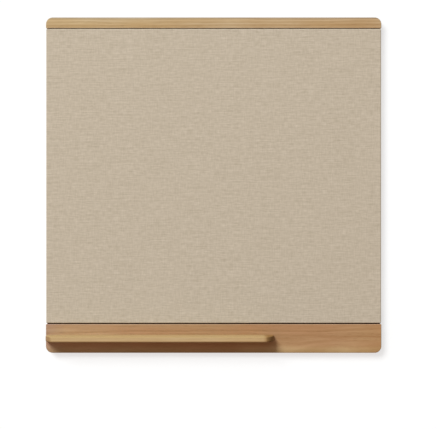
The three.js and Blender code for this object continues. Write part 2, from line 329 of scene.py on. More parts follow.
def setStudio():
    toKey = Vector(studio["toKey"]).normalized() * studio["keyDistance"]
    key = addLamp("key lamp", toKey, studio["keyWidth"], studio["keyPower"])
    toWallLamp = Vector(studio["toWallLamp"]).normalized() * studio["wallLampDistance"]
    wallLamp = addLamp("wall lamp", toWallLamp, studio["wallLampWidth"], studio["wallLampPower"])
    rear = addLamp("rear lamp", Vector(studio["toRear"]), studio["rearWidth"], studio["rearPower"])
    rear.visible_glossy = False
    wallPaint = backdropPaint("matt white wall paint", studio["wallShade"])
    floorPaint = backdropPaint("matt white floor paint", studio["floorShade"])
    low, high = cadBox
    wallPlace = (0, high.y + studio["wallGap"], (low.z + high.z) / 2)
    floorPlace = (0, 0, low.z - studio["floorDrop"])
    backdrops = [
        addBackdrop("wall", wallPaint, wallPlace, math.pi / 2),
        addBackdrop("floor", floorPaint, floorPlace, 0),
    ]
    linkLamp(key, backdrops, "EXCLUDE")
    linkLamp(wallLamp, backdrops, "INCLUDE")
    setWorld()
    print("studio set")


# Screws and dowels, and the holes that they sit in
fixings = {
    "gap": 0.25 * mm,  # room all round in a hole
    "past": 1.0 * mm,  # a hole's tool starts this far outside the wood
    "holeSteps": 24,
    "tip": 3.0 * mm,  # length of a screw's point
    "headLand": 0.3 * mm,  # a screw head's straight rim, above its cone
    "panelShank": 3.5 * mm,
    "plateShank": 2.5 * mm,
    "ledgeShank": 4.0 * mm,
    "dowelChamfer": 1.0 * mm,
}


def numbered(kind, count):
    return ["%s_%d" % (kind, i) for i in range(1, count + 1)]


panelScrews = {rail: numbered(rail + "_panel_screw", 4) for rail in ("top", "bottom")}
plateScrews = {side: numbered(side + "_plate_screw", 2) for side in ("left", "right")}
ledgeScrews = numbered("ledge_screw", 3)
ledgeDowels = numbered("ledge_dowel", 2)


# A node's middle as seen from the front, which is where a screw's or dowel's axis is
def middleOf(node):
    low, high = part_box(node)
    return Vector(((low.x + high.x) / 2, 0, (low.z + high.z) / 2))


# A screw's outline from its point to its head, grown by a gap and lengthened past the head for a hole
def screwRows(node, shank, gap=0, past=0):
    low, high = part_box(node)
    head = (high.x - low.x) / 2
    coneEnd = fixings["headLand"] + head - shank / 2
    return [
        (0, low.y - gap),
        (shank / 2 + gap, low.y + fixings["tip"]),
        (shank / 2 + gap, high.y - coneEnd),
        (head + gap, high.y - fixings["headLand"]),
        (head + gap, high.y + past),
        (0, high.y + past),
    ]


def screwHole(node, shank):
    rows = screwRows(node, shank, fixings["gap"], fixings["past"])
    return turnedMesh(rows, middleOf(node), fixings["holeSteps"])


def dowelHole(node):
    low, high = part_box(node)
    gap = fixings["gap"]
    rim = (high.x - low.x) / 2 + gap
    chamfer = fixings["dowelChamfer"]
    rows = [
        (0, low.y - gap),
        (rim - chamfer, low.y - gap),
        (rim, low.y - gap + chamfer),
        (rim, high.y + gap - chamfer),
        (rim - chamfer, high.y + gap),
        (0, high.y + gap),
    ]
    return turnedMesh(rows, middleOf(node), fixings["holeSteps"])


def panelHoles(rail):
    return [screwHole(node, fixings["panelShank"]) for node in panelScrews[rail]]


def plateHoles(side):
    return [screwHole(node, fixings["plateShank"]) for node in plateScrews[side]]


def ledgeHoles():
    holes = [screwHole(node, fixings["ledgeShank"]) for node in ledgeScrews]
    return holes + [dowelHole(node) for node in ledgeDowels]


# Marks on the wood that its material reads: greyer rounded edges, painted highlight and shade on the inner
# rounded edges, the front, end grain, and a gap's sides for painted shade
woodMarks = {
    "lean": 0.2,  # a rounded edge's faces lean at least this far towards two axes
    "square": 0.98,  # a face that leans this far towards one axis is flat
}


# Rounded edges at the inner height are painted lighter on the rails, a painted highlight, and darker on
# the ledge, painted shade over its lit top edge. The other rounded edges are drawn greyer and darker; on
# the ledge this is also painted shade over its lit top edge. grainEnds are the ends that show end grain,
# left (-1) or right (1). sidesToo counts edges that turn to neither front nor back.
def markWood(piece, inner, grainEnds=(-1, 1), sidesToo=False):
    lean = woodMarks["lean"]
    eased = piece.data.attributes.new("easedEdge", "FLOAT", "FACE")
    edgeLightShade = piece.data.attributes.new("paintedEdgeLightShade", "FLOAT", "FACE")
    front = piece.data.attributes.new("frontSide", "FLOAT", "FACE")
    for face in piece.data.polygons:
        _, second, most = sorted(abs(part) for part in face.normal)
        isRound = most < woodMarks["square"] and second > lean
        isRound = isRound and (sidesToo or abs(face.normal.y) > lean)
        isInner = abs(face.center.z - inner) < rails["ease"]
        eased.data[face.index].value = 1.0 if isRound and not isInner else 0.0
        edgeLightShade.data[face.index].value = 1.0 if isRound and isInner else 0.0
        front.data[face.index].value = 1.0 if face.normal.y < -lean else 0.0
    turns = [corner.vector.x for corner in piece.data.corner_normals]
    slants = [max(0.0, *(side * turn for side in grainEnds)) for turn in turns]
    ends = piece.data.attributes.new("endGrain", "FLOAT", "CORNER")
    ends.data.foreach_set("value", slants)


# What shows inside the gap beside the cloth, the rail's inner side and the front of its tongue, gets
# painted shade
def markGapShade(rail, inner, tongueFront):
    gap = rail.data.attributes.new("gapShade", "FLOAT", "FACE")
    square = woodMarks["square"]
    for face in rail.data.polygons:
        isSide = abs(face.center.z - inner) < near and abs(face.normal.z) > square
        isTongue = abs(face.center.y - tongueFront) < near and face.normal.y < -square
        gap.data[face.index].value = 1.0 if isSide or isTongue else 0.0


# Rails: oak bars with a thin tongue that reaches behind the panel
rails = {
    "corner": 15 * mm,
    "cornerSteps": 14,
    "ease": 1.25 * mm,
    "easeSteps": 4,
    "topGap": 1.5 * mm,  # from the cloth up to the upper rail
    "bottomGap": 2.4 * mm,  # from the cloth down to the lower rail
    "tongueDepth": 7 * mm,
    "tongueInset": 1 * mm,
    "tongueSink": 0.02 * mm,  # keeps the tongue's back just off the bar's, so that the join is clean
    "tongueEase": 0.6 * mm,
    "tongueEaseSteps": 2,
    "smoothAngle": 35,
}


# outer, inner and tip are heights: the board's edge, the edge beside the cloth and the tongue's free edge
def railBlank(name, outer, inner, tip):
    low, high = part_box(name)
    front, rear = low.y, high.y
    bm = blockMesh((low.x, front, min(outer, inner)), (high.x, rear, max(outer, inner)))
    outerCorners = edgesAlong(bm, 1, lambda co: abs(co.z - outer) < near)
    rounded(bm, outerCorners, rails["corner"], rails["cornerSteps"])
    rims = [edgesWhere(bm, lambda co, y=y: abs(co.y - y) < near) for y in (front, rear)]
    innerCorners = edgesAlong(bm, 1, lambda co: abs(co.z - inner) < near)
    rounded(bm, rims[0] + rims[1] + innerCorners, rails["ease"], rails["easeSteps"])
    bar = asObject(bm, name + "_oak")
    root = (outer + inner) / 2
    inset = rails["tongueInset"]
    tongue = blockMesh(
        (low.x + inset, rear - rails["tongueDepth"], min(root, tip)),
        (high.x - inset, rear - rails["tongueSink"], max(root, tip)),
    )
    freeEdges = edgesWhere(tongue, lambda co: abs(co.z - tip) < near)
    rounded(tongue, freeEdges, rails["tongueEase"], rails["tongueEaseSteps"])
    return bar, asObject(tongue, "tongue")


# Recess for each keyhole plate, and the deeper pocket for a wall screw's head about the seat at height 0
hangers = {
    "plateCorner": 4 * mm,
    "entry": 9 * mm,
    "slot": 4.4 * mm,
    "pocketWidth": 10 * mm,
    "pocketRound": 4.75 * mm,
    "pocketDepth": 3.5 * mm,
    "travel": 7.5 * mm,  # from the middle of the entry up to the seat
    "cornerSteps": 8,
    "roundSteps": 40,
}


def hangerTools():
    gap = fixings["gap"]
    past = fixings["past"]
    recesses = []
    pockets = []
    for side in ("left", "right"):
        low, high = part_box(side + "_keyhole_plate")
        grown = Vector((gap, gap, gap))
        recess = blockMesh(low - grown, high + grown + Vector((0, past, 0)))
        corners = edgesAlong(recess, 1, lambda co: True)
        rounded(recess, corners, hangers["plateCorner"] + gap, hangers["cornerSteps"])
        recesses.append(recess)
        middle = (low.x + high.x) / 2
        half = hangers["pocketWidth"] / 2
        pocket = blockMesh(
            (middle - half, low.y - hangers["pocketDepth"], -hangers["travel"] - half),
            (middle + half, past, half),
        )
        corners = edgesAlong(pocket, 1, lambda co: True)
        rounded(pocket, corners, hangers["pocketRound"], hangers["cornerSteps"])
        pockets.append(pocket)
    return toolFrom(recesses), toolFrom(pockets)


def makeTopRail(material):
    low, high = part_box("top_rail")
    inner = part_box("cloth_cover")[1].z + rails["topGap"]
    rail, tongue = railBlank("top_rail", high.z, inner, low.z)
    recesses, pockets = hangerTools()
    holes = toolFrom(panelHoles("top") + plateHoles("left") + plateHoles("right"))
    cuts = [("DIFFERENCE", tool) for tool in (recesses, pockets, holes)]
    carve(rail, [("UNION", tongue)] + cuts)
    shadeSmooth(rail, rails["smoothAngle"])
    markWood(rail, inner)
    finishPiece(rail, material, "top_rail")
    print("top rail:", len(rail.data.polygons), "faces")


def makeBottomRail(material):
    low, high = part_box("bottom_rail")
    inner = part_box("cloth_cover")[0].z - rails["bottomGap"]
    rail, tongue = railBlank("bottom_rail", low.z, inner, high.z)
    holes = toolFrom(panelHoles("bottom") + ledgeHoles())
    carve(rail, [("UNION", tongue), ("DIFFERENCE", holes)])
    shadeSmooth(rail, rails["smoothAngle"])
    markWood(rail, inner)
    markGapShade(rail, inner, high.y - rails["tongueDepth"])
    finishPiece(rail, material, "bottom_rail")
    print("bottom rail:", len(rail.data.polygons), "faces")


# Pen ledge: a thin oak shelf, round at its front corners and softly eased on all free edges
ledge = {
    "endLength": 19 * mm,  # rounding of the front corners, along the ledge
    "endDepth": 34 * mm,  # and from the front towards the rail
    "cornerSteps": 18,
    "ease": 2.5 * mm,
    "easeSteps": 6,
    "smoothAngle": 35,
}


def makePenLedge(material):
    low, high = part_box("pen_ledge")
    bm = blockMesh(low, high)
    # The corners are rounded while the block is stretched, which leaves them elliptical
    stretch = ledge["endDepth"] / ledge["endLength"]
    bmesh.ops.scale(bm, vec=(stretch, 1, 1), verts=bm.verts)
    corners = edgesAlong(bm, 2, lambda co: co.y < low.y + near)
    rounded(bm, corners, ledge["endDepth"], ledge["cornerSteps"])
    bmesh.ops.scale(bm, vec=(1 / stretch, 1, 1), verts=bm.verts)
    rims = []
    for height in (low.z, high.z):
        rim = edgesWhere(bm, lambda co: abs(co.z - height) < near)
        rims += [e for e in rim if not all(v.co.y > high.y - near for v in e.verts)]
    rounded(bm, rims, ledge["ease"], ledge["easeSteps"])
    shelf = asObject(bm, "pen_ledge_oak")
    carve(shelf, [("DIFFERENCE", toolFrom(ledgeHoles()))])
    shadeSmooth(shelf, ledge["smoothAngle"])
    markWood(shelf, high.z, grainEnds=(-1,), sidesToo=True)
    finishPiece(shelf, material, "pen_ledge")
    print("pen ledge:", len(shelf.data.polygons), "faces")


# Steel edges, slightly rounded by the press and the plating
metal = {"edge": 0.15 * mm, "edgeSteps": 2, "sharpAngle": 35}


def softenEdges(piece):
    edge = piece.modifiers.new("soft edges", "BEVEL")
    edge.width = metal["edge"]
    edge.segments = metal["edgeSteps"]
    edge.limit_method = "ANGLE"
    edge.angle_limit = math.radians(metal["sharpAngle"])


# Keyhole plates: pressed steel, each with a round entry, a slot up to the seat and two countersunk holes
def makeKeyholePlate(side, material):
    node = side + "_keyhole_plate"
    low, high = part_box(node)
    bm = blockMesh(low, high)
    rounded(bm, edgesAlong(bm, 1, lambda co: True), hangers["plateCorner"], hangers["cornerSteps"])
    plate = asObject(bm, node + "_steel")
    middle = (low.x + high.x) / 2
    below = low.y - fixings["past"]
    above = high.y + fixings["past"]
    reach = hangers["entry"] / 2
    rows = [(0, below), (reach, below), (reach, above), (0, above)]
    entry = turnedMesh(rows, (middle, 0, -hangers["travel"]), hangers["roundSteps"])
    half = hangers["slot"] / 2
    slot = blockMesh((middle - half, below, -hangers["travel"]), (middle + half, above, half))
    seat = edgesAlong(slot, 1, lambda co: co.z > half - near)
    rounded(slot, seat, half - near, hangers["cornerSteps"])
    carve(plate, [("DIFFERENCE", toolFrom([tool])) for tool in [entry, slot] + plateHoles(side)])
    softenEdges(plate)
    shadeSmooth(plate, metal["sharpAngle"])
    finishPiece(plate, material, node)
    print(side, "keyhole plate:", len(plate.data.polygons), "faces")


# Screws: countersunk, with a tapered cross recess, a plain shank and a point
screws = {
    "steps": 32,
    "driveLength": 3.6 * mm,
    "driveWidth": 1.0 * mm,
    "driveDepth": 1.5 * mm,
    "driveTaper": 0.5,  # the recess is this much narrower at its floor
}


# One arm of the cross recess, along X or along Z
def recessArm(place, sizeX, sizeZ):
    corner = Vector((sizeX / 2, fixings["past"], sizeZ / 2))
    bm = blockMesh((-corner.x, -screws["driveDepth"], -corner.z), corner)
    floor = [v for v in bm.verts if v.co.y < 0]
    taper = 1 - screws["driveTaper"]
    bmesh.ops.scale(bm, vec=(taper, 1, taper), verts=floor)
    bmesh.ops.translate(bm, vec=place, verts=bm.verts)
    return toolFrom([bm])


def makeScrew(node, shank, material):
    turned = turnedMesh(screwRows(node, shank), middleOf(node), screws["steps"])
    screw = asObject(turned, node + "_steel")
    top = middleOf(node) + Vector((0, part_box(node)[1].y, 0))
    arms = [
        recessArm(top, screws["driveLength"], screws["driveWidth"]),
        recessArm(top, screws["driveWidth"], screws["driveLength"]),
    ]
    carve(screw, [("DIFFERENCE", arm) for arm in arms])
    softenEdges(screw)
    shadeSmooth(screw, metal["sharpAngle"])
    finishPiece(screw, material, node)


def makeScrews(material):
    groups = {
        "panelShank": panelScrews["top"] + panelScrews["bottom"],
        "plateShank": plateScrews["left"] + plateScrews["right"],
        "ledgeShank": ledgeScrews,
    }
    for shank, nodes in groups.items():
        for node in nodes:
            makeScrew(node, fixings[shank], material)
    print("screws:", sum(len(nodes) for nodes in groups.values()))


# Cloth: one piece, stretched over the panel's front, round its edges and stapled behind
cloth = {
    "fold": 2.05 * mm,
    "foldSteps": 6,
    "corner": 2.15 * mm,
    "cornerSteps": 6,
    "hem": 25 * mm,
    "thickness": 0.9 * mm,
    "scallop": 1.4 * mm,  # the raw edge draws back between the staples
    "scallopSteps": 6,
    "crease": 0.35 * mm,  # depth of the folded corners' creases
    "staples": 8,
    "square": 0.999,  # a face that leans this far towards the front or back is flat
    "smoothAngle": 50,
    "uvName": "unfolded",
}


# The panel's middle, and how far it reaches from there
def clothMiddle():
    low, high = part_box("cloth_cover")
    return (low + high) / 2, (high - low) / 2


def isBehind(face):
    return face.normal.y > cloth["square"]


# Cuts faces that pass a test along a plane, and gives the points of the cut
def sliceFaces(bm, test, place, normal):
    faces = [f for f in bm.faces if test(f)]
    geometry = set(faces)
    for face in faces:
        geometry.update(face.edges)
        geometry.update(face.verts)
    cut = bmesh.ops.bisect_plane(bm, geom=list(geometry), dist=near, plane_co=place, plane_no=normal)
    return [v for v in cut["geom_cut"] if isinstance(v, bmesh.types.BMVert)]


# The window in the back, inside the hem
def cutWindow(bm):
    low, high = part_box("cloth_cover")
    middle, half = clothMiddle()
    hem = cloth["hem"]
    for x in (low.x + hem, high.x - hem):
        sliceFaces(bm, isBehind, (x, 0, 0), (1, 0, 0))
    for z in (low.z + hem, high.z - hem):
        sliceFaces(bm, isBehind, (0, 0, z), (0, 0, 1))
    def inWindow(face):
        out = face.calc_center_median() - middle
        return isBehind(face) and abs(out.x) < half.x - hem and abs(out.z) < half.z - hem
    bmesh.ops.delete(bm, geom=[f for f in bm.faces if inWindow(f)], context="FACES")


# Folded corners: a crease from each corner of the panel to the window
def creaseCorners(bm):
    middle, half = clothMiddle()
    hem = cloth["hem"]
    for sideX in (-1, 1):
        for sideZ in (-1, 1):
            corner = Vector((middle.x + sideX * half.x, 0, middle.z + sideZ * half.z))
            def inCorner(face):
                out = face.calc_center_median() - corner
                return isBehind(face) and abs(out.x) < hem and abs(out.z) < hem
            for vert in sliceFaces(bm, inCorner, corner, (sideX, 0, -sideZ)):
                vert.co.y -= cloth["crease"]


# The raw side edges, scalloped between the staples
def scallopSides(bm):
    middle, half = clothMiddle()
    lowest = middleOf("left_staple_1").z
    highest = middleOf("left_staple_%d" % cloth["staples"]).z
    pitch = (highest - lowest) / (cloth["staples"] - 1)
    for i in range((cloth["staples"] - 1) * cloth["scallopSteps"] + 1):
        height = lowest + pitch * i / cloth["scallopSteps"]
        drawn = cloth["scallop"] * (0.5 - 0.5 * math.cos(2 * math.pi * i / cloth["scallopSteps"]))
        for vert in sliceFaces(bm, isBehind, (0, 0, height), (0, 0, 1)):
            out = vert.co.x - middle.x
            if abs(abs(out) - (half.x - cloth["hem"])) < near:
                vert.co.x += math.copysign(drawn, out)


# Lays the cloth out flat in its UV map, in metres, so the threads run on round the folds
def unfold(bm):
    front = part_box("cloth_cover")[0].y
    middle, half = clothMiddle()
    layer = bm.loops.layers.uv.new(cloth["uvName"])
    def laidOut(out, size, y, wraps):
        if not wraps:
            return out
        tuck = size - abs(out)
        return math.copysign(size + (y - front) + (tuck if y > middle.y else -tuck), out)
    for face in bm.faces:
        out = face.calc_center_median() - middle
        isFront = face.normal.y < -cloth["square"]
        sideways = half.x - abs(out.x) < half.z - abs(out.z)
        for loop in face.loops:
            co = loop.vert.co - middle
            y = loop.vert.co.y
            u = laidOut(co.x, half.x, y, sideways and not isFront)
            v = laidOut(co.z, half.z, y, not sideways and not isFront)
            loop[layer].uv = (u, v)


def makeCloth(material):
    low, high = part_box("cloth_cover")
    bm = blockMesh(low, high)
    rounded(bm, edgesAlong(bm, 1, lambda co: True), cloth["corner"], cloth["cornerSteps"])
    rims = [edgesWhere(bm, lambda co, y=y: abs(co.y - y) < near) for y in (low.y, high.y)]
    rounded(bm, rims[0] + rims[1], cloth["fold"], cloth["foldSteps"])
    cutWindow(bm)
    creaseCorners(bm)
    scallopSides(bm)
    unfold(bm)
    cover = asObject(bm, "cloth_cover_linen")
    wall = cover.modifiers.new("cloth thickness", "SOLIDIFY")
    wall.thickness = cloth["thickness"]
    wall.offset = -1
    wall.use_even_offset = True
    shadeSmooth(cover, cloth["smoothAngle"])
    finishPiece(cover, material, "cloth_cover")


# Oiled oak, planed and sanded: uneven year rings and fine fibres along the piece, open pores and a low
# satin shine. The ranges say which part of a noise's values spreads from none to full.
oak = {
    "bendLength": 300 * mm,  # the rings bend gently along the piece
    "bendWidth": 60 * mm,
    "ringRange": {"From Min": 0.3, "From Max": 0.7},
    "fibreWidth": 1.8 * mm,
    "fibreLength": 70 * mm,
    "fibreRange": {"From Min": 0.3, "From Max": 0.7},
    "fibreShare": 0.4,
    "broadWidth": 16 * mm,
    "broadLength": 260 * mm,
    "broadRange": {"From Min": 0.35, "From Max": 0.65},
    "poreWidth": 0.8 * mm,  # drawn about three times as wide as real pores, to show
    "poreLength": 14 * mm,
    "poreDepth": 0.12 * mm,
    "poreRange": {"From Min": 0.6, "From Max": 0.7},
    "poreShare": 0.5,
    "easedShare": 0.7,
    "edgeLightShadeShare": 0.8,
    "roughness": {"To Min": 0.48, "To Max": 0.64},
    "specular": 0.08,
    "relief": 0.35,
}

# pith moves the log's middle onto the X axis, and slope turns it, in degrees. ends says how far a surface
# turns towards the piece's end where end grain starts to show and where it shows most, and how much. Each
# drift is an axis, two places on it in millimetres, and the tint that comes in from one to the other.
# greyed has two heights in millimetres, and the tint that comes in between them on the front.
oakLooks = {
    "upper": {
        "name": "oiled oak, pale",
        "pith": (0.0, -75 * mm, 59.2 * mm),
        "slope": 0.3,
        "bend": 3 * mm,
        "ring": 2.8 * mm,
        "seed": (3.0, 1.0, 2.0),
        "pale": "#d6c8a5",
        "warm": "#cbb385",
        "deep": "#af9469",
        "pore": "#876c4a",
        "eased": "#aca18e",
        # painted highlight on the rail's downward-facing inner edge
        "edgeLightShade": "#efe2c8",
        "end": "#8a6c49",
        "ends": {"From Min": 0.9, "From Max": 1.0, "To Max": 0.6},
        "drifts": [("X", -280, 300, "#f5ece8")],
        "greyed": (3.0, 4.8, "#e9efff"),
    },
    "lower": {
        "name": "oiled oak, reddish",
        "pith": (0.3, -95 * mm, 748 * mm),
        "slope": 0.6,
        "bend": 3 * mm,
        "ring": 4.2 * mm,
        "seed": (7.0, 4.0, 5.0),
        "pale": "#dcd0a7",
        "warm": "#d5b893",
        "deep": "#b69b70",
        "pore": "#856b48",
        "eased": "#a4988a",
        # painted highlight on the rail's upward-facing inner edge
        "edgeLightShade": "#e8d8c2",
        "end": "#84623f",
        "ends": {"From Min": 0.9, "From Max": 1.0, "To Max": 0.6},
        "gap": "#7d5a34",  # painted shade inside the gap beside the cloth
        "drifts": [
            ("X", -340, -20, "#f3ece3"),
            ("X", -330, -370, "#f3f0ff"),
            ("X", 280, 370, "#fdf5ee"),
            ("X", 170, 50, "#f8f8f8"),
            ("Z", -737, -724, "#ecdcd9"),
            ("Z", -722, -729, "#faf6f3"),
            ("Z", -733, -739, "#eeeae4"),
        ],
    },
    "ledge": {
        "name": "oiled oak, pale ledge",
        "pith": (0.7, -60 * mm, 655 * mm),
        "slope": -0.5,
        "bend": 4 * mm,
        "ring": 6.0 * mm,
        "seed": (1.0, 8.0, 3.0),
        "pale": "#cfb98f",
        "warm": "#c9ae80",
        "deep": "#b4986c",
        "pore": "#8c704b",
        # darker edge tones here: painted shade that tones down the lit top front edge
        "eased": "#aa9268",
        "edgeLightShade": "#bca170",
        "end": "#876847",
        "ends": {"From Min": 0.25, "From Max": 0.65, "To Max": 0.6},
        "drifts": [
            # darker right end: painted shade on the end that faces away from the lamp
            ("X", 109, 119.5, "#d3bfaa"),
            # darker lower front edge and underside: painted shade
            ("Z", -711.2, -713, "#e2dad2"),
            # slightly darker top: painted shade that tones down the lit top edge
            ("Z", -704.2, -702.6, "#f6f3ec"),
        ],
    },
}


# Colour of the sanded wood, with the fibres and pores that its shine and relief follow
def oakGrain(tree, look, place):
    log = addNode(tree, "Mapping", {
        "Vector": place, "Location": look["pith"], "Rotation": (0, math.radians(look["slope"]), 0),
    }).outputs[0]
    def streaks(source, length, width, detail):
        stretched = addNode(tree, "Mapping", {
            "Vector": source, "Location": look["seed"], "Scale": (1 / length, 1 / width, 1 / width),
        }).outputs[0]
        return addNode(tree, "TexNoise", {
            "Vector": stretched, "Scale": 1.0, "Detail": detail, "Roughness": 0.55,
        }).outputs[0]
    # Distance from the log's middle, bent a little, tells which ring a point is in
    along, inward, upward = addNode(tree, "SeparateXYZ", {0: log}).outputs
    section = addNode(tree, "CombineXYZ", {1: inward, 2: upward}).outputs[0]
    radius = addNode(tree, "VectorMath", {0: section}, operation="LENGTH").outputs["Value"]
    bend = addNode(tree, "MapRange", {
        "Value": streaks(log, oak["bendLength"], oak["bendWidth"], 1.0),
        "To Min": -look["bend"], "To Max": look["bend"],
    }).outputs[0]
    bent = addNode(tree, "Math", {0: radius, 1: bend}, operation="ADD").outputs[0]
    grown = addNode(tree, "TexNoise", {
        "W": bent, "Scale": 1 / look["ring"], "Detail": 2.0, "Roughness": 0.6,
    }, noise_dimensions="1D").outputs[0]
    grain = addNode(tree, "CombineXYZ", {0: along, 1: bent, 2: inward}).outputs[0]
    fibre = streaks(grain, oak["fibreLength"], oak["fibreWidth"], 3.0)
    broad = streaks(grain, oak["broadLength"], oak["broadWidth"], 2.0)
    speck = streaks(log, oak["poreLength"], oak["poreWidth"], 1.0)
    rings = addNode(tree, "MapRange", {"Value": grown, **oak["ringRange"]}).outputs[0]
    fibres = addNode(tree, "MapRange", {"Value": fibre, **oak["fibreRange"]}).outputs[0]
    patches = addNode(tree, "MapRange", {"Value": broad, **oak["broadRange"]}).outputs[0]
    pores = addNode(tree, "MapRange", {"Value": speck, **oak["poreRange"]}).outputs[0]
    lines = addNode(tree, "Mix", {0: oak["fibreShare"], 2: rings, 3: fibres}).outputs[0]
    wood = addNode(tree, "Mix", {
        0: patches, 6: linear(look["pale"]), 7: linear(look["warm"]),
    }, data_type="RGBA").outputs[2]
    grained = addNode(tree, "Mix", {
        0: lines, 6: wood, 7: linear(look["deep"]),
    }, data_type="RGBA").outputs[2]
    ringPores = addNode(tree, "Math", {0: pores, 1: rings}, operation="MULTIPLY").outputs[0]
    poreShare = addNode(tree, "Math", {
        0: ringPores, 1: oak["poreShare"],
    }, operation="MULTIPLY").outputs[0]
    porous = addNode(tree, "Mix", {
        0: poreShare, 6: grained, 7: linear(look["pore"]),
    }, data_type="RGBA").outputs[2]
    return porous, fibre, pores


# Greyer rounded edges, painted highlight and shade on the inner rounded edges, end grain, and painted
# shade inside a gap
def oakWear(tree, look, colour):
    for attribute, most, tint in (
        ("easedEdge", oak["easedShare"], look["eased"]),
        ("paintedEdgeLightShade", oak["edgeLightShadeShare"], look["edgeLightShade"]),
    ):
        marked = addNode(tree, "Attribute", attribute_name=attribute).outputs["Fac"]
        share = addNode(tree, "Math", {0: marked, 1: most}, operation="MULTIPLY").outputs[0]
        colour = addNode(tree, "Mix", {0: share, 6: colour, 7: linear(tint)}, data_type="RGBA").outputs[2]
    slant = addNode(tree, "Attribute", attribute_name="endGrain").outputs["Fac"]
    ends = addNode(tree, "MapRange", {"Value": slant, **look["ends"]}).outputs[0]
    colour = addNode(tree, "Mix", {
        0: ends, 6: colour, 7: linear(look["end"]),
    }, data_type="RGBA").outputs[2]
    # Painted shade inside the gap beside the cloth
    if "gap" in look:
        inGapShade = addNode(tree, "Attribute", attribute_name="gapShade").outputs["Fac"]
        colour = addNode(tree, "Mix", {
            0: inGapShade, 6: colour, 7: linear(look["gap"]),
        }, data_type="RGBA").outputs[2]
    return colour


# The colour drifts along the piece or across it, and turns greyer near the upper front edge. On the ledge
# the drifts are painted shade: a darker right end, lower edge and top
def oakTone(tree, look, place, colour):
    axes = addNode(tree, "SeparateXYZ", {0: place}).outputs
    for axis, start, end, tint in look["drifts"]:
        drift = addNode(tree, "MapRange", {
            "Value": axes[axis], "From Min": start * mm, "From Max": end * mm,
        }).outputs[0]
        colour = addNode(tree, "Mix", {
            0: drift, 6: colour, 7: linear(tint),
        }, data_type="RGBA", blend_type="MULTIPLY").outputs[2]
    if "greyed" in look:
        start, end, tint = look["greyed"]
        rise = addNode(tree, "MapRange", {
            "Value": axes["Z"], "From Min": start * mm, "From Max": end * mm,
        }).outputs[0]
        front = addNode(tree, "Attribute", attribute_name="frontSide").outputs["Fac"]
        share = addNode(tree, "Math", {0: rise, 1: front}, operation="MULTIPLY").outputs[0]
        colour = addNode(tree, "Mix", {
            0: share, 6: colour, 7: linear(tint),
        }, data_type="RGBA", blend_type="MULTIPLY").outputs[2]
    return colour


def oiledOak(look):
    material = newMaterial(look["name"])
    tree = material.node_tree
    place = addNode(tree, "TexCoord").outputs["Object"]
    sanded, fibre, pores = oakGrain(tree, look, place)
    worn = oakWear(tree, look, sanded)
    colour = oakTone(tree, look, place, worn)
    shine = addNode(tree, "MapRange", {"Value": fibre, **oak["roughness"]}).outputs[0]
    height = addNode(tree, "Math", {0: fibre, 1: pores}, operation="SUBTRACT").outputs[0]
    bump = addNode(tree, "Bump", {
        "Strength": oak["relief"], "Distance": oak["poreDepth"], "Height": height,
    }).outputs[0]
    surface = addNode(tree, "BsdfPrincipled", {
        "Base Color": colour, "Roughness": shine, "Normal": bump,
        "IOR": 1.5, "Specular IOR Level": oak["specular"],
    })
    addNode(tree, "OutputMaterial", {"Surface": surface.outputs[0]})
    return material


# Linen-look cloth, plain woven: thick and thin yarns cross both ways, matt with a faint sheen
linen = {
    "thread": 1.0 * mm,  # drawn about twice as coarse as a real weave, to show
    "threadDepth": 0.2 * mm,
    "threadWaver": 0.6,
    "wave": 2 * math.pi / 20,  # a wave texture of scale 1 repeats after this length, in metres
    "slubWidth": 2.7 * mm,
    "slubLength": 15 * mm,
    "yarnWidth": 2.0 * mm,
    "yarnLength": 80 * mm,
    "weftSlubs": 0.8,
    "weftYarns": 0.6,
    "warpSlubs": 0.6,
    "light": "#d1c9b8",
    "dark": "#b0a894",
    "roughness": 0.92,
    "specular": 0.12,
    "sheen": 0.08,
    "sheenRoughness": 0.5,
    "relief": 0.4,
}


